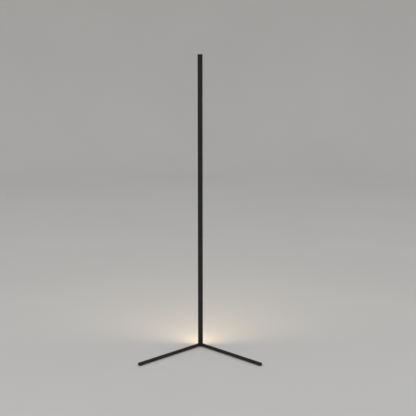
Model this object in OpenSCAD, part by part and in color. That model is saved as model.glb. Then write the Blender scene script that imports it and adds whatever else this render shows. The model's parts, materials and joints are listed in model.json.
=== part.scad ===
// Corner floor lamp: a square pole with a light line down its back, on a right-angled base of
// two round legs. The legs run forward along the two walls of a room corner, and the light
// line looks backward into that corner.
// Origin: on the floor, on the pole's axis. +Z is up, -Y is the side that the legs point to,
// +Y is the side that the light line faces. All sizes are in millimetres.

/* [Overall] */
// Height from the floor to the top of the cap
total_h = 1400; // [1100:10:1700]
// Height at which the light line starts
light_z = 58; // [56:1:90]

/* [Pole] */
// Width of the pole profile, as seen from the front
pole_w = 23; // [22:0.5:30]
// Depth of the pole profile, from its front face to its back face
pole_d = 23; // [22:0.5:30]
// Wall of the pole profile
pole_wall = 1.6; // [1.2:0.1:2]
// Thickness of the web that carries the light tape
web_t = 2; // [1.5:0.1:2.5]
// Thickness of the lips that hold the diffuser, front to back
lip_t = 1.4; // [1:0.1:1.8]
// How far each lip reaches over the channel
lip_reach = 1.5; // [1:0.1:1.8]
// Radius of the profile's outer corners
corner_r = 1; // [0.5:0.1:1.5]
// Thickness of the top cap's plate
cap_t = 4; // [3:0.5:6]
// Depth of the top cap's plug in the pole
cap_plug_h = 14; // [12:1:20]

/* [Joiners] */
// Thickness of the bars that join the pole sections, front to back
joiner_d = 9; // [8.5:0.1:9.5]
// Length of a joiner bar
joiner_h = 70; // [64:2:90]
// Height of the hub's tongue inside the pole
tongue_h = 65; // [60:1:80]
// Diameter of the grub screws
grub_d = 4; // [3:0.5:5]
// Length of a grub screw
grub_len = 4; // [3.5:0.5:5]

/* [Base] */
// Length of a leg, from the pole's axis to its free end
leg_len = 395; // [300:5:500]
// Diameter of a leg rod
leg_d = 15; // [12:0.5:16]
// Chamfer on the free end of a leg
leg_chamfer = 0.8; // [0.4:0.1:1.5]
// Gap between a leg and the floor
leg_gap = 1.5; // [1:0.1:2.5]
// Diameter of the threaded stud that holds a leg
stud_d = 6; // [5:0.5:6]
// Length of the stud inside the leg
stud_in_leg = 18; // [12:1:25]
// Height of the hub's top face, where the pole stands
hub_h = 30; // [27:1:34]
// Thickness of the square flange under the pole
flange_t = 3; // [2:0.5:4]
// Gap between the hub and the floor
hub_gap = 2.5; // [2:0.1:3.5]

/* [Pads] */
// Diameter of the pad under the hub
hub_pad_d = 14; // [11:0.5:15]
// Diameter of the pad under a leg
foot_pad_d = 8; // [6:0.5:9]
// Distance from a leg's free end to the middle of its pad
foot_pad_inset = 18; // [12:1:40]
// Depth of a pad's seat in its leg
foot_seat = 1.2; // [0.8:0.1:2]
// Diameter of the stem that holds a pad
stem_d = 4; // [3:0.5:4.5]
// Length of the stem under the hub
hub_stem_h = 3; // [2:0.1:3.3]
// Length of the stem in a leg
foot_stem_h = 6; // [4:0.5:8]

/* [Light] */
// Wall of the diffuser beside its hollow
diffuser_wall = 1.6; // [1.2:0.1:2.5]
// Thickness of the diffuser's face
diffuser_face_t = 2.2; // [1.5:0.1:3]
// How far the diffuser and the rear cover lie below the pole's back face
face_recess = 0.3; // [0.1:0.1:0.8]
// Width of the light tape
tape_w = 10; // [8:0.5:11]
// Thickness of the light tape
tape_t = 0.3; // [0.2:0.05:0.5]
// Distance between two light chips
chip_pitch = 16.7; // [12.5:0.1:33]
// Width of a light chip
chip_w = 2.8; // [2:0.1:3.5]
// Height of a light chip along the tape
chip_h = 3.5; // [2:0.1:5]
// Thickness of a light chip
chip_t = 0.7; // [0.5:0.1:1]

/* [Control] */
// Height of the bottom of the rear cover
cover_z = 6; // [5:0.5:7]
// Thickness of the rear cover
cover_t = 2.7; // [2.4:0.1:3]
// Width of the control board
board_w = 15; // [13:0.5:16]
// Thickness of the control board
board_t = 1.2; // [0.8:0.1:1.6]
// Thickness of the foam behind the board
foam_t = 0.6; // [0.4:0.1:0.8]
// Height of the middle of the power socket
socket_z = 21; // [20:0.5:21.5]
// Depth of the hole in the power socket
socket_hole_depth = 11; // [9.5:0.5:12]
// Diameter of the hole in the power socket
socket_bore_d = 5.5; // [5:0.1:5.8]
// Diameter of the power socket's barrel
barrel_d = 7.8; // [7.4:0.1:8.2]
// Diameter of the power socket's pin
pin_d = 2.1; // [1.6:0.1:2.5]
// Height of the push button above the foot of the pole
button_rise = 16; // [15:0.5:18]
// Diameter of the push button
button_d = 6.8; // [5:0.1:7.5]
// Travel of the push button
button_travel = 0.8; // [0.4:0.1:0.8]
// How far the push button stands out of the cover
button_proud = 0.6; // [0.3:0.1:1]
// Diameter of a lead
lead_d = 1.2; // [0.8:0.1:1.4]

/* [Hidden] */
$fn = 64;

// Clearances
fit_gap = 0.1;        // between a bar and the hole that it slides into
slide_gap = 0.15;     // between a plastic part and the channel that it slides into
thread_gap = 0.05;    // between a screw and its tapped hole
pad_gap = 0.05;       // between a rubber stem and its hole
turn_gap = 0.15;      // around the push button and the socket's barrel
touch_gap = 0.05;     // between a lead and what it is soldered to
end_gap = 0.3;        // between the ends of two strips in the channel
eps = 0.01;           // how far a cut runs past a face
cut_over = 1;         // how far a cut runs out of an open side

leg_angle = 45;       // each leg from straight ahead, so the two legs make a right angle
seat_margin = 0.35;   // of the hub's facet around the end of a leg

// Levels in the pole's cross-section, from its front face to its back face
front_y = -pole_d / 2;
back_y = pole_d / 2;
cavity_y0 = front_y + pole_wall;
cavity_y1 = cavity_y0 + joiner_d + 2 * fit_gap;
web_y = cavity_y1 + web_t;
lip_y = back_y - lip_t;
face_y = back_y - face_recess;
channel_w = pole_w - 2 * pole_wall;
mouth_w = channel_w - 2 * lip_reach;

// Heights
hub_top = hub_h;
cap_z = total_h - cap_t;
section_step = 0.1;   // the sections are cut to this step, and the upper one takes the rest
section_h = section_step * round((cap_z - hub_top) / (3 * section_step));
joint_lower_z = hub_top + section_h;
joint_upper_z = hub_top + 2 * section_h;
relief_h = 0.4;       // fine step round the ends of each section, seen as a hairline
relief_d = 0.25;

// Grub screws, measured from the joint or the bar's end that they hold
grub_near = 10;
grub_far = 25;
tongue_grubs = [hub_top + tongue_h - grub_far, hub_top + tongue_h - grub_near];
cap_grub_z = cap_z - cap_plug_h / 2;
grub_socket_af = grub_d / 2;
grub_socket_depth = grub_len / 2;
grub_seat = grub_len - web_t + fit_gap;               // depth of the seat for its point

// Base
hub_w = max(pole_w, (leg_d + 2 * seat_margin) * sqrt(2));
facet_x = hub_w / 2 * cos(leg_angle);                 // from the axis to a leg's seat
nose_flat = 0.35;                                     // blunts the hub's front edge
leg_z = leg_gap + leg_d / 2;
stud_end_gap = 0.5;                                   // keeps the two studs' ends apart
stud_inner_x = stud_d / 2 + stud_end_gap;
stud_len = facet_x + stud_in_leg - stud_inner_x;
stud_hole_spare = 1;                                  // the leg's hole is deeper than the stud
foot_pad_x = leg_len - foot_pad_inset;
foot_pad_t = leg_gap + foot_seat;

// Power socket, in a pocket of the hub that is open at the top for the leads
socket_w = 9;
socket_h = 10;
socket_floor = 1.2;                                   // left behind the socket's hole
socket_hole_y = face_y - socket_hole_depth;
socket_top_z = socket_z + socket_h / 2;
pocket_w = socket_w + 2 * fit_gap;
pocket_z = socket_z - socket_h / 2 - fit_gap;
pin_short = 0.4;                                      // pin below the barrel's rim

// Rear cover
cover_y = face_y - cover_t;
cover_top_z = light_z - end_gap;
cover_screw_z = (cover_z + pocket_z) / 2;
cover_screw_x = 5;
cover_screw_d = 2.5;
cover_screw_len = 6.5;
cover_head_d = 4.6;
cover_head_h = 1.2;

// Control board, flat against the web on its foam
board_y = web_y + foam_t;
board_front_y = board_y + board_t;
board_foot_gap = 1;
board_head_gap = 3;
board_z0 = hub_top + board_foot_gap;
board_z1 = light_z - board_head_gap;
foam_inset = 2;

// Push button: cap and plunger move together
button_z = hub_top + button_rise;
button_rim = 1.2;                                     // keeps the cap behind the cover
button_flange_d = button_d + 2 * button_rim;
button_flange_t = 0.8;
button_flange_y = cover_y - fit_gap - button_flange_t;
plunger_d = 3.4;
plunger_len = 2;
plunger_y = button_flange_y - plunger_len;
switch_w = 6;
stop_gap = 0.3;                                       // left under the cap when it is pressed
plunger_bore_spare = 0.2;                             // left behind the pressed plunger
switch_y = button_flange_y - button_travel - stop_gap;

// Parts on the board's face below the switch: each has a width, a height and a thickness
board_row_drop = 3;                                   // from the switch to the upper row
board_row_pitch = 4.5;
board_row_upper = button_z - switch_w / 2 - board_row_drop;
board_row_lower = board_row_upper - board_row_pitch;
middle_chip = [5, 4, 1.6];
left_chip = [4, 3, 1.5];
right_chip = [3, 2.5, 1.8];
side_chip_inset = 3.5;                                // from the board's edge to a chip's middle
board_resistor = [0.8, 1.6, 0.5];
board_resistor_inset = 1.5;
board_resistor_pitch = 1.6;

// Light line
diffuser_y0 = web_y + fit_gap;
tape_foot_gap = 2;
tape_head_gap = 4;
tape_z0 = light_z + tape_foot_gap;
tape_z1 = cap_z - tape_head_gap;
tape_y = web_y + tape_t;
chip_count = floor((tape_z1 - tape_z0) / chip_pitch);
chips_per_resistor = 3;
tape_resistor = [1.2, 0.5, 2];

// Leads: two from the socket up to the board, two from the board up to the tape
lead_x = 2.5;
tape_lead_y = tape_y + lead_d / 2 + touch_gap;
tape_lead_top = 4;                                    // how far a lead laps over the tape
power_lead_y = board_y + board_t / 2;

// Front of the socket: behind its hole, and far enough forward for the leads to end on its top
socket_y0 = min(socket_hole_y - socket_floor, power_lead_y - lead_d);

// ---------------------------------------------------------------- helpers

// Rectangle between x = -w/2 and w/2 and y = y0 and y1, with round corners
module round_box_2d(w, y0, y1, r) {
    translate([-w / 2 + r, y0]) square([w - 2 * r, y1 - y0]);
    translate([-w / 2, y0 + r]) square([w, y1 - y0 - 2 * r]);
    for (sx = [-1, 1], y = [y0 + r, y1 - r])
        translate([sx * (w / 2 - r), y]) circle(r);
}

// Rectangle centred on x = 0, from y0 to y1
module band_2d(w, y0, y1) {
    translate([-w / 2, y0]) square([w, y1 - y0]);
}

// Cylinder along +Y from its own origin
module along_y(d, len) {
    rotate([-90, 0, 0]) cylinder(d = d, h = len);
}

// Hexagon socket along +Y from its own origin
module hex_socket(af, depth) {
    rotate([-90, 0, 0]) cylinder(d = af / cos(30), h = depth, $fn = 6);
}

// Turns +X onto a leg's direction: side is -1 for the left leg and 1 for the right one
module on_leg(side) {
    rotate([0, 0, -90 + side * leg_angle]) children();
}

// Cylinder along the leg's axis from x0, in the leg's own frame
module along_leg(d, x0, len) {
    translate([x0, 0, leg_z]) rotate([0, 90, 0]) cylinder(d = d, h = len);
}

// The pair of leads, side by side, from z0 to z1
module lead_pair(y, z0, z1) {
    for (side = [-1, 1])
        translate([side * lead_x, y, z0]) cylinder(d = lead_d, h = z1 - z0);
}

// ---------------------------------------------------------------- pole

module pole_outline_2d(inset = 0) {
    round_box_2d(pole_w - 2 * inset, front_y + inset, back_y - inset, corner_r);
}

// Open channel at the back: wide inside, narrower between the lips
module channel_2d(y0) {
    band_2d(channel_w, y0, lip_y);
    band_2d(mouth_w, y0, back_y + cut_over);
}

module pole_profile_2d() {
    difference() {
        pole_outline_2d();
        band_2d(channel_w, cavity_y0, cavity_y1);
        channel_2d(web_y);
    }
}

// Fine step round one end of a section
module end_relief(z) {
    translate([0, 0, z]) linear_extrude(relief_h) difference() {
        square(3 * max(pole_w, pole_d), center = true);
        pole_outline_2d(relief_d);
    }
}

// Tapped holes through the web for grub screws at these heights
module web_holes(heights) {
    for (z = heights)
        translate([0, cavity_y1 - eps, z]) along_y(grub_d + 2 * thread_gap, web_t + 2 * eps);
}

function grubs_above(joint) = [joint + grub_near, joint + grub_far];
function grubs_below(joint) = [joint - grub_far, joint - grub_near];

module pole_section(z0, z1, grubs) {
    color("#161616") difference() {
        translate([0, 0, z0]) linear_extrude(z1 - z0) pole_profile_2d();
        end_relief(z0 - eps);
        end_relief(z1 - relief_h + eps);
        web_holes(grubs);
    }
}

module pole_lower() {
    pole_section(hub_top, joint_lower_z, concat(tongue_grubs, grubs_below(joint_lower_z)));
}

module pole_middle() {
    grubs = concat(grubs_above(joint_lower_z), grubs_below(joint_upper_z));
    pole_section(joint_lower_z, joint_upper_z, grubs);
}

module pole_upper() {
    pole_section(joint_upper_z, cap_z, concat(grubs_above(joint_upper_z), [cap_grub_z]));
}

// Seats for the grub screws' points, in the bar that fills the front cavity
module grub_seats(heights) {
    for (z = heights)
        translate([0, cavity_y1 - fit_gap - grub_seat, z])
            along_y(grub_d + 2 * fit_gap, grub_seat + fit_gap + eps);
}

// Bar that fills the pole's front cavity
module cavity_bar(z0, z1) {
    translate([0, 0, z0]) linear_extrude(z1 - z0)
        band_2d(channel_w - 2 * fit_gap, cavity_y0 + fit_gap, cavity_y1 - fit_gap);
}

module joiner(joint) {
    color("#c2c4c6") difference() {
        cavity_bar(joint - joiner_h / 2, joint + joiner_h / 2);
        grub_seats(concat(grubs_below(joint), grubs_above(joint)));
    }
}

// The grub screws of the hub's tongue, both joiners and the cap, with their sockets flush with
// the web
module grub_screws() {
    heights = concat(tongue_grubs, grubs_below(joint_lower_z), grubs_above(joint_lower_z),
                     grubs_below(joint_upper_z), grubs_above(joint_upper_z), [cap_grub_z]);
    color("#8d9094") for (z = heights) translate([0, web_y - grub_len, z]) difference() {
        along_y(grub_d, grub_len);
        translate([0, grub_len - grub_socket_depth, 0])
            hex_socket(grub_socket_af, grub_socket_depth + eps);
    }
}

module top_cap() {
    color("#161616") difference() {
        union() {
            translate([0, 0, cap_z]) linear_extrude(cap_t) pole_outline_2d();
            cavity_bar(cap_z - cap_plug_h, cap_z + eps);
        }
        grub_seats([cap_grub_z]);
    }
}

// ---------------------------------------------------------------- base

// Plan of the hub: square at the back, two facets at right angles at the front
module hub_2d() {
    half = hub_w / 2;
    intersection() {
        polygon([[0, -half], [half, 0], [half, back_y], [-half, back_y], [-half, 0]]);
        round_box_2d(hub_w, nose_flat - half, back_y, corner_r);
    }
}

module hub_solid() {
    translate([0, 0, hub_gap]) linear_extrude(hub_top - flange_t - hub_gap) hub_2d();
    translate([0, 0, hub_top - flange_t]) linear_extrude(flange_t) pole_outline_2d();
    cavity_bar(hub_top - eps, hub_top + tongue_h);
}

module cover_screw_places() {
    for (side = [-1, 1]) translate([side * cover_screw_x, 0, cover_screw_z]) children();
}

// Screw seat through the rear cover and into the hub
module cover_screw_holes() {
    head_y = face_y - cover_head_h;
    cover_screw_places() {
        translate([0, head_y - cover_screw_len, 0])
            along_y(cover_screw_d + 2 * thread_gap, cover_screw_len + cut_over);
        translate([0, head_y, 0]) rotate([-90, 0, 0])
            cylinder(d1 = cover_screw_d + 2 * thread_gap, d2 = cover_head_d + 2 * thread_gap,
                     h = cover_head_h + eps);
    }
}

module hub_block() {
    color("#161616") difference() {
        hub_solid();
        grub_seats(tongue_grubs);
        translate([0, 0, cover_z - fit_gap]) linear_extrude(hub_top - cover_z + cut_over)
            channel_2d(cover_y - fit_gap);
        translate([0, 0, pocket_z]) linear_extrude(hub_top - pocket_z + eps)
            band_2d(pocket_w, socket_y0 - fit_gap, cover_y);
        for (side = [-1, 1]) on_leg(side)
            along_leg(stud_d + 2 * thread_gap, stud_inner_x - thread_gap, facet_x);
        cover_screw_holes();
        translate([0, 0, hub_gap - eps])
            cylinder(d = stem_d + 2 * pad_gap, h = hub_stem_h + pad_gap + eps);
    }
}

module hub_pad() {
    color("#2b2b2b") {
        cylinder(d = hub_pad_d, h = hub_gap);
        cylinder(d = stem_d, h = hub_gap + hub_stem_h);
    }
}

// Rod with a chamfered free end, in the leg's own frame
module rod_solid() {
    r = leg_d / 2;
    len = leg_len - facet_x;
    translate([facet_x, 0, leg_z]) rotate([0, 90, 0]) rotate_extrude()
        polygon([[0, 0], [r, 0], [r, len - leg_chamfer], [r - leg_chamfer, len], [0, len]]);
}

module leg_rod(side) {
    color("#161616") on_leg(side) difference() {
        rod_solid();
        along_leg(stud_d + 2 * thread_gap, facet_x - eps, stud_in_leg + stud_hole_spare);
        translate([foot_pad_x, 0, 0]) {
            cylinder(d = foot_pad_d + 2 * pad_gap, h = foot_pad_t);
            cylinder(d = stem_d + 2 * pad_gap, h = foot_pad_t + foot_stem_h + pad_gap);
        }
    }
}

module leg_studs() {
    color("#8d9094") for (side = [-1, 1])
        on_leg(side) along_leg(stud_d, stud_inner_x, stud_len);
}

module foot_pad(side) {
    color("#2b2b2b") on_leg(side) translate([foot_pad_x, 0, 0]) {
        cylinder(d = foot_pad_d, h = foot_pad_t);
        cylinder(d = stem_d, h = foot_pad_t + foot_stem_h);
    }
}

// ---------------------------------------------------------------- light line

module diffuser() {
    shoulder_w = channel_w - 2 * slide_gap;
    neck_w = mouth_w - 2 * slide_gap;
    color("#f4efe4") translate([0, 0, light_z]) linear_extrude(cap_z - light_z) difference() {
        union() {
            band_2d(shoulder_w, diffuser_y0, lip_y - fit_gap);
            band_2d(neck_w, diffuser_y0, face_y);
        }
        band_2d(neck_w - 2 * diffuser_wall, diffuser_y0 - cut_over, face_y - diffuser_face_t);
    }
}

module light_tape() {
    color("#f2f2ee") translate([0, 0, tape_z0]) linear_extrude(tape_z1 - tape_z0)
        band_2d(tape_w, web_y, tape_y);
}

function chip_z(i) = tape_z0 + (i + 0.5) * chip_pitch;

module light_chips() {
    color("#f2c84b") for (i = [0:chip_count - 1])
        translate([-chip_w / 2, tape_y, chip_z(i) - chip_h / 2]) cube([chip_w, chip_t, chip_h]);
}

module tape_resistors() {
    color("#202020") for (i = [1:chips_per_resistor:chip_count - 2])
        translate([-tape_resistor[0] / 2, tape_y, chip_z(i) + (chip_pitch - tape_resistor[2]) / 2])
            cube(tape_resistor);
}

module tape_leads() {
    color("#a01818") lead_pair(tape_lead_y, board_z1 + touch_gap, tape_z0 + tape_lead_top);
}

// ---------------------------------------------------------------- control

module rear_cover() {
    color("#1b1b1b") difference() {
        translate([0, 0, cover_z]) linear_extrude(cover_top_z - cover_z) {
            band_2d(channel_w - 2 * slide_gap, cover_y, lip_y - fit_gap);
            band_2d(mouth_w - 2 * slide_gap, cover_y, face_y);
        }
        translate([0, cover_y - cut_over, socket_z])
            along_y(barrel_d + 2 * turn_gap, cover_t + 2 * cut_over);
        translate([0, cover_y - cut_over, button_z])
            along_y(button_d + 2 * turn_gap, cover_t + 2 * cut_over);
        cover_screw_holes();
    }
}

module cover_screws() {
    head_y = face_y - cover_head_h;
    shank_len = cover_screw_len - fit_gap;
    color("#8d9094") cover_screw_places() difference() {
        union() {
            translate([0, head_y - shank_len, 0]) along_y(cover_screw_d, shank_len + eps);
            translate([0, head_y, 0]) rotate([-90, 0, 0])
                cylinder(d1 = cover_screw_d, d2 = cover_head_d, h = cover_head_h);
        }
        translate([0, head_y, 0]) hex_socket(cover_screw_d / 2, cover_head_h + eps);
    }
}

module control_board() {
    color("#1f5a34") translate([-board_w / 2, board_y, board_z0])
        cube([board_w, board_t, board_z1 - board_z0]);
}

module board_foam() {
    color("#3a3a3a") translate([foam_inset - board_w / 2, web_y, board_z0 + foam_inset])
        cube([board_w - 2 * foam_inset, foam_t, board_z1 - board_z0 - 2 * foam_inset]);
}

// One part on the board's face: size is its width, height and thickness
module board_part(size, x, z) {
    translate([x - size[0] / 2, board_front_y, z - size[1] / 2])
        cube([size[0], size[2], size[1]]);
}

module board_chips() {
    side_x = board_w / 2 - side_chip_inset;
    color("#262626") {
        board_part(middle_chip, 0, board_row_lower);
        board_part(left_chip, -side_x, board_row_upper);
        board_part(right_chip, side_x, board_row_upper);
    }
}

module board_resistors() {
    outer_x = board_w / 2 - board_resistor_inset;
    color("#9a948a") for (side = [-1, 1], x = [outer_x, outer_x - board_resistor_pitch])
        board_part(board_resistor, side * x, board_row_lower);
}

module power_socket() {
    color("#1b1b1b") difference() {
        union() {
            translate([-socket_w / 2, socket_y0, socket_z - socket_h / 2])
                cube([socket_w, cover_y - slide_gap - socket_y0, socket_h]);
            translate([0, socket_y0, socket_z]) along_y(barrel_d, face_y - socket_y0);
        }
        translate([0, socket_hole_y, socket_z]) along_y(socket_bore_d, socket_hole_depth + eps);
    }
}

module socket_pin() {
    color("#c2c4c6") translate([0, socket_hole_y, socket_z])
        along_y(pin_d, socket_hole_depth - pin_short);
}

module power_leads() {
    color("#1c1c1c") lead_pair(power_lead_y, socket_top_z + touch_gap, board_z0 - touch_gap);
}

module switch_body() {
    bore_y = plunger_y - button_travel - plunger_bore_spare;
    color("#262626") difference() {
        translate([-switch_w / 2, board_front_y, button_z - switch_w / 2])
            cube([switch_w, switch_y - board_front_y, switch_w]);
        translate([0, bore_y, button_z])
            along_y(plunger_d + 2 * fit_gap, switch_y - bore_y + eps);
    }
}

module switch_plunger() {
    color("#8d9094") translate([0, plunger_y, button_z]) along_y(plunger_d, plunger_len);
}

module button_cap() {
    stalk_len = face_y + button_proud - button_flange_y;
    color("#262626") translate([0, button_flange_y, button_z]) {
        along_y(button_flange_d, button_flange_t);
        along_y(button_d, stalk_len);
    }
}

// ---------------------------------------------------------------- nodes

hub_block();
hub_pad();
leg_rod(-1);  // leg_rod_left
leg_rod(1);  // leg_rod_right
leg_studs();
foot_pad(-1);  // foot_pad_left
foot_pad(1);  // foot_pad_right
pole_lower();
pole_middle();
pole_upper();
joiner(joint_lower_z);  // joiner_lower
joiner(joint_upper_z);  // joiner_upper
top_cap();
grub_screws();
diffuser();
light_tape();
light_chips();
tape_resistors();
tape_leads();
rear_cover();
cover_screws();
control_board();
board_foam();
board_chips();
board_resistors();
power_socket();
socket_pin();
power_leads();
switch_body();
switch_plunger();
button_cap();
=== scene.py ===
"""Looks for the corner floor lamp: its materials, and the studio, lights and camera around it.

Every piece of the lamp is a CAD node and keeps its shape. This script gives each node the
procedural material of its slot in the record. All sizes are in metres.
"""
import json
import math

import bpy
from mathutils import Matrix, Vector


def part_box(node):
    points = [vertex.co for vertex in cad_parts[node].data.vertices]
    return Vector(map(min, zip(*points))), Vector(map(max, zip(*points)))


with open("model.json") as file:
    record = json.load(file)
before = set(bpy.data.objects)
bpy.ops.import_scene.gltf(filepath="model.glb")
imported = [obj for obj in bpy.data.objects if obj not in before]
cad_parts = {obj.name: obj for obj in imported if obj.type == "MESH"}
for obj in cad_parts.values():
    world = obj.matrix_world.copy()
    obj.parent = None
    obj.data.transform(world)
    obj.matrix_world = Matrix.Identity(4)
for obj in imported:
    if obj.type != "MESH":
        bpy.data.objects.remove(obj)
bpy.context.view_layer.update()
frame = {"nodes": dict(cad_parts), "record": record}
scene = bpy.context.scene

# Driving sizes
CHIP_PITCH = 0.0167          # distance between two light chips behind the diffuser
CHIP_HEIGHT = 0.0035         # of one light chip, along the pole
LIGHT_COLOUR = (1.0, 0.76, 0.45)

DIFFUSER_LOW, DIFFUSER_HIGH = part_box("diffuser")
FIRST_CHIP_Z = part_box("light_chips")[0].z + CHIP_HEIGHT / 2


# ---------------------------------------------------------------- node graphs

class Graph:
    """A material with one Principled shader, and short calls to add nodes to it."""

    def __init__(self, name, **sockets):
        self.material = bpy.data.materials.new(name)
        self.material.use_nodes = True
        self.nodes = self.material.node_tree.nodes
        self.links = self.material.node_tree.links
        self.shader = self.nodes["Principled BSDF"]
        for socket, value in sockets.items():
            self.shader.inputs[socket.replace("_", " ")].default_value = value
        self.place = self.add("ShaderNodeTexCoord").outputs["Object"]

    def add(self, kind, links=None, values=None, **properties):
        """A node with its sockets linked or set, and its properties."""
        node = self.nodes.new(kind)
        for name, value in properties.items():
            setattr(node, name, value)
        for socket, value in (values or {}).items():
            node.inputs[socket].default_value = value
        for socket, source in (links or {}).items():
            self.links.new(source, node.inputs[socket])
        return node

    def stretched(self, scale):
        """The place on the object, squeezed or stretched along each axis."""
        node = self.add("ShaderNodeMapping", {"Vector": self.place}, {"Scale": scale})
        return node.outputs["Vector"]

    def noise(self, size, detail=3.0, place=None):
        """Noise from 0 to 1 whose grains are about size across."""
        node = self.add("ShaderNodeTexNoise", {"Vector": place or self.place},
                        {"Scale": 1 / size, "Detail": detail})
        return node.outputs["Fac"]

    def spread(self, source, low, high, start=0.3, stop=0.7):
        """Maps start..stop of a source to low..high."""
        node = self.add("ShaderNodeMapRange", {"Value": source},
                        {"From Min": start, "From Max": stop, "To Min": low, "To Max": high})
        return node.outputs["Result"]

    def math(self, operation, *terms):
        """An operation on numbers and other nodes' outputs."""
        node = self.add("ShaderNodeMath", operation=operation)
        for socket, term in zip(node.inputs, terms):
            if isinstance(term, (int, float)):
                socket.default_value = term
            else:
                self.links.new(term, socket)
        return node.outputs["Value"]

    def mix(self, factor, first, second):
        """A colour between two, each an RGB triple or another node's output."""
        node = self.add("ShaderNodeMix", {"Factor": factor}, data_type="RGBA")
        for socket, colour in (("A", first), ("B", second)):
            target = [s for s in node.inputs if s.name == socket and s.type == "RGBA"][0]
            if isinstance(colour, tuple):
                target.default_value = (*colour, 1.0)
            else:
                self.links.new(colour, target)
        return [s for s in node.outputs if s.type == "RGBA"][0]

    def edge_normal(self, radius):
        """The normal with every sharp edge rounded to a radius."""
        return self.add("ShaderNodeBevel", values={"Radius": radius}, samples=6).outputs["Normal"]

    def edge_mask(self, rounded, grain):
        """1 on worn edges and 0 elsewhere, broken up by a grain."""
        flat = self.add("ShaderNodeNewGeometry").outputs["Normal"]
        node = self.add("ShaderNodeVectorMath", {0: rounded, 1: flat}, operation="DOT_PRODUCT")
        turned = self.math("SUBTRACT", 1.0, node.outputs["Value"])
        return self.spread(self.math("MULTIPLY", turned, grain), 0.0, 1.0, 0.015, 0.09)

    def colour(self, source):
        self.links.new(source, self.shader.inputs["Base Color"])

    def roughness(self, source):
        self.links.new(source, self.shader.inputs["Roughness"])

    def bump(self, source, height, normal=None):
        """Relief of the given height in metres on the shader's normal."""
        node = self.add("ShaderNodeBump", {"Height": source}, {"Distance": height})
        if normal is not None:
            self.links.new(normal, node.inputs["Normal"])
        self.links.new(node.outputs["Normal"], self.shader.inputs["Normal"])


# ---------------------------------------------------------------- materials

def powder_coat(name, streaks):
    """Matte black coat: fine orange peel, a slight mottle, and edges worn a little lighter."""
    g = Graph(name, Specular_IOR_Level=0.28)
    peel = g.noise(0.0006, 2.0)
    mottle = g.noise(0.03, 4.0)
    drawn = g.noise(0.0012, 3.0, g.stretched((1.0, 1.0, 0.015))) if streaks else mottle
    rounded = g.edge_normal(0.0005)
    worn = g.edge_mask(rounded, g.noise(0.004, 3.0))
    body = g.mix(g.spread(mottle, 0.0, 1.0), (0.0145, 0.0145, 0.0155), (0.0215, 0.0212, 0.0210))
    g.colour(g.mix(g.math("MULTIPLY", worn, 0.5), body, (0.075, 0.074, 0.072)))
    g.roughness(g.spread(g.math("ADD", g.math("MULTIPLY", drawn, 0.22),
                                g.math("MULTIPLY", peel, 0.78)), 0.41, 0.55))
    g.bump(peel, 0.00003, rounded)
    return g.material


def moulded(name, dark, light, rough=(0.46, 0.62), grain=0.0004, relief=0.00002, **sockets):
    """Moulded plastic or rubber with a fine spark-eroded texture."""
    g = Graph(name, **sockets)
    fine = g.noise(grain, 2.0)
    broad = g.noise(0.012, 3.0)
    g.colour(g.mix(g.spread(broad, 0.0, 1.0), dark, light))
    g.roughness(g.spread(fine, *rough))
    g.bump(fine, relief, g.edge_normal(0.00025))
    return g.material


def metal(name, dark, light, rough, stretch=(1.0, 1.0, 1.0), grain=0.0008, relief=0.000008):
    """Bare or plated metal with the streaks of how it was drawn or turned."""
    g = Graph(name, Metallic=1.0)
    streak = g.noise(grain, 4.0, g.stretched(stretch))
    stain = g.noise(0.006, 3.0)
    g.colour(g.mix(g.spread(stain, 0.0, 1.0), dark, light))
    g.roughness(g.spread(streak, *rough))
    g.bump(streak, relief, g.edge_normal(0.0002))
    return g.material


def opal(name):
    """Opal plastic lit from inside: each light chip shows as a very faint, soft swell."""
    g = Graph(name, Specular_IOR_Level=0.4, Emission_Strength=0.62)
    axes = g.add("ShaderNodeSeparateXYZ", {"Vector": g.place}).outputs
    rise = g.math("SUBTRACT", axes["Z"], FIRST_CHIP_Z)
    turn = g.math("MULTIPLY", rise, 2 * math.pi / CHIP_PITCH)
    swell = g.spread(g.math("COSINE", turn), 0.95, 1.0, -1.0, 1.0)
    half = (DIFFUSER_HIGH.x - DIFFUSER_LOW.x) / 2
    across = g.math("DIVIDE", g.math("ABSOLUTE", axes["X"]), half)
    side = g.spread(g.math("POWER", across, 3.0), 1.0, 0.80, 0.0, 1.0)
    level = g.math("MULTIPLY", swell, side)
    g.links.new(g.mix(level, (0.0, 0.0, 0.0), LIGHT_COLOUR), g.shader.inputs["Emission Color"])
    haze = g.noise(0.004, 3.0)
    g.colour(g.mix(g.spread(haze, 0.0, 1.0), (0.50, 0.47, 0.41), (0.54, 0.51, 0.45)))
    g.roughness(g.spread(g.noise(0.0005, 2.0), 0.38, 0.5))
    g.bump(g.noise(0.0007, 2.0, g.stretched((1.0, 1.0, 0.02))), 0.00001)
    return g.material


def light_chip(name):
    """Yellow phosphor in a white frame, lit."""
    g = Graph(name, Specular_IOR_Level=0.5, Emission_Strength=0.9)
    grain = g.noise(0.0003, 2.0)
    tone = g.mix(g.spread(grain, 0.0, 1.0), (0.93, 0.72, 0.24), (0.97, 0.82, 0.38))
    g.colour(tone)
    g.links.new(g.mix(g.spread(grain, 0.0, 1.0), (0.95, 0.70, 0.40), LIGHT_COLOUR),
                g.shader.inputs["Emission Color"])
    g.roughness(g.spread(grain, 0.2, 0.32))
    return g.material


def circuit(name, mask, line, pitch, rough):
    """Solder mask over copper tracks, which show as slightly lighter lines."""
    g = Graph(name, Specular_IOR_Level=0.5)
    wave = g.add("ShaderNodeTexWave", {"Vector": g.place},
                 {"Scale": 1 / pitch, "Distortion": 1.5, "Detail": 1.0}, bands_direction="X")
    tracks = g.spread(wave.outputs["Fac"], 0.0, 1.0, 0.62, 0.72)
    g.colour(g.mix(tracks, mask, line))
    g.roughness(g.spread(g.noise(0.002, 2.0), *rough))
    g.bump(tracks, 0.00003, g.edge_normal(0.0001))
    return g.material


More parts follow.
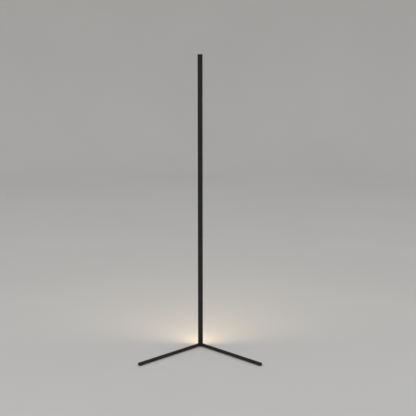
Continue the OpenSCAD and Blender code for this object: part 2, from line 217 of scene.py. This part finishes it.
MATERIALS = {
    "black_steel": powder_coat("powder_coat_steel", streaks=False),
    "black_aluminium": powder_coat("powder_coat_aluminium", streaks=True),
    "bare_aluminium": metal("extruded_aluminium", (0.68, 0.69, 0.70), (0.76, 0.77, 0.78),
                            (0.28, 0.46), stretch=(1.0, 1.0, 0.02)),
    "screw_steel": metal("zinc_steel", (0.47, 0.48, 0.50), (0.56, 0.57, 0.58), (0.26, 0.42)),
    "nickel": metal("nickel", (0.71, 0.69, 0.63), (0.78, 0.76, 0.71), (0.16, 0.28),
                    stretch=(1.0, 0.1, 1.0)),
    "pad_rubber": moulded("rubber", (0.024, 0.024, 0.024), (0.036, 0.036, 0.035),
                          rough=(0.72, 0.9), grain=0.0006, relief=0.00004, Sheen_Weight=0.15),
    "opal_diffuser": opal("opal_lit"),
    "white_tape": circuit("tape_mask", (0.86, 0.86, 0.84), (0.90, 0.89, 0.86), 0.006, (0.4, 0.55)),
    "light_chip": light_chip("phosphor_lit"),
    "black_component": moulded("component_black", (0.024, 0.024, 0.025), (0.036, 0.036, 0.036),
                               rough=(0.5, 0.68), grain=0.0003),
    "lead_red": moulded("lead_red", (0.42, 0.025, 0.025), (0.48, 0.035, 0.035),
                        rough=(0.36, 0.48), relief=0.000006),
    "lead_black": moulded("lead_black", (0.018, 0.018, 0.018), (0.024, 0.024, 0.024),
                          rough=(0.36, 0.48), relief=0.000006),
    "black_plastic": moulded("moulded_black", (0.019, 0.019, 0.020), (0.025, 0.025, 0.026)),
    "board_green": circuit("board_mask", (0.026, 0.165, 0.062), (0.04, 0.21, 0.085), 0.004,
                           (0.3, 0.42)),
    "grey_foam": moulded("foam", (0.05, 0.05, 0.05), (0.075, 0.075, 0.075), rough=(0.85, 0.98),
                         grain=0.0005, relief=0.0001),
    "button_plastic": moulded("satin_black", (0.031, 0.031, 0.032), (0.039, 0.039, 0.040),
                              rough=(0.3, 0.4), relief=0.000008),
}


def dress_nodes():
    """Gives every CAD node the material of its slot in the record."""
    for part in frame["record"]["subparts"]:
        piece = frame["nodes"][part["node"]]
        for slot in piece.material_slots:
            slot.material = MATERIALS[part["material_slot"]]


# ---------------------------------------------------------------- studio

FLOOR_RADIUS = 5.2           # flat floor, wide enough for a camera on any side
SWEEP_RADIUS = 1.8           # curve from the floor up to the wall
WALL_HEIGHT = 3.7
SWEEP_STEPS = 16             # faces up the curve
TURN_STEPS = 96              # faces around the floor

WORLD_COLOUR = (0.98, 0.99, 1.0, 1.0)
WORLD_STRENGTH = 0.58
# Each soft light: its name, place, turn in degrees, size and power in watts
SOFT_LIGHTS = [
    ("key", (-2.6, -3.2, 3.8), (48, 0, -39), (2.4, 2.4), 41),
    ("fill", (3.2, -1.6, 2.6), (62, 0, 63), (2.0, 2.4), 16),
]
GLOW_GAP = 0.0015            # between the diffuser's face and the light that gives its glow
GLOW_POWER = 2.5


def studio_material():
    """Pale matte paper, a little uneven."""
    g = Graph("studio_paper", Specular_IOR_Level=0.15)
    g.colour(g.mix(g.spread(g.noise(0.9, 2.0), 0.0, 1.0), (0.71, 0.70, 0.685),
                   (0.73, 0.72, 0.705)))
    g.roughness(g.spread(g.noise(0.01, 2.0), 0.86, 0.96))
    return g.material


def make_studio():
    """A round floor that sweeps up into a wall on every side."""
    rings = [(FLOOR_RADIUS / 3, 0.0), (FLOOR_RADIUS, 0.0)]
    for step in range(1, SWEEP_STEPS + 1):
        a = math.pi / 2 * step / SWEEP_STEPS
        rings.append((FLOOR_RADIUS + SWEEP_RADIUS * math.sin(a),
                      SWEEP_RADIUS * (1 - math.cos(a))))
    rings.append((FLOOR_RADIUS + SWEEP_RADIUS, WALL_HEIGHT))
    points = [(0.0, 0.0, 0.0)]
    for r, z in rings:
        for k in range(TURN_STEPS):
            t = 2 * math.pi * k / TURN_STEPS
            points.append((r * math.cos(t), r * math.sin(t), z))
    faces = [(0, 1 + k, 1 + (k + 1) % TURN_STEPS) for k in range(TURN_STEPS)]
    for ring in range(len(rings) - 1):
        low, high = 1 + ring * TURN_STEPS, 1 + (ring + 1) * TURN_STEPS
        for k in range(TURN_STEPS):
            n = (k + 1) % TURN_STEPS
            faces.append((low + k, high + k, high + n, low + n))
    mesh = bpy.data.meshes.new("studio")
    mesh.from_pydata(points, [], faces)
    mesh.shade_smooth()
    mesh.materials.append(studio_material())
    studio = bpy.data.objects.new("studio", mesh)
    scene.collection.objects.link(studio)


def make_world():
    """Soft light from above on every side."""
    world = bpy.data.worlds.new("studio_world")
    world.use_nodes = True
    background = world.node_tree.nodes["Background"]
    background.inputs["Color"].default_value = WORLD_COLOUR
    background.inputs["Strength"].default_value = WORLD_STRENGTH
    scene.world = world


def area_light(name, place, turn, size, power, colour=(1.0, 1.0, 1.0), reflected=True):
    """A rectangular light, hidden from the camera, and from reflections unless reflected."""
    data = bpy.data.lights.new(name, "AREA")
    data.shape = "RECTANGLE"
    data.size, data.size_y = size
    data.energy = power
    data.color = colour
    light = bpy.data.objects.new(name, data)
    light.location = place
    light.rotation_euler = [math.radians(a) for a in turn]
    light.visible_camera = False
    light.visible_glossy = reflected
    scene.collection.objects.link(light)


def make_lights():
    """Soft light from the front and above, and the lamp's own glow off its diffuser."""
    for light in SOFT_LIGHTS:
        area_light(*light)
    width = DIFFUSER_HIGH.x - DIFFUSER_LOW.x
    height = DIFFUSER_HIGH.z - DIFFUSER_LOW.z
    middle = (DIFFUSER_HIGH.z + DIFFUSER_LOW.z) / 2
    area_light("lamp_glow", (0.0, DIFFUSER_HIGH.y + GLOW_GAP, middle), (90, 0, 0),
               (width, height), GLOW_POWER, LIGHT_COLOUR, reflected=False)


# ---------------------------------------------------------------- camera

PHOTO_SIDE = 416             # pixels
FOCAL_PIXELS = 970.9         # fitted to the pole's top, the legs' meeting point and their tips
SENSOR_WIDTH = 36.0          # millimetres
CAMERA_PLACE = (0.0365, -4.5, 1.558)
CAMERA_PITCH = 11.012        # degrees down


def make_camera():
    """The photograph's viewing angle and frame."""
    data = bpy.data.cameras.new("camera")
    data.sensor_width = SENSOR_WIDTH
    data.lens = FOCAL_PIXELS / PHOTO_SIDE * SENSOR_WIDTH
    camera = bpy.data.objects.new("camera", data)
    camera.location = CAMERA_PLACE
    camera.rotation_euler = (math.radians(90 - CAMERA_PITCH), 0.0, 0.0)
    scene.collection.objects.link(camera)
    scene.camera = camera


make_camera()
dress_nodes()
make_studio()
make_world()
make_lights()
scene.view_settings.view_transform = "Standard"
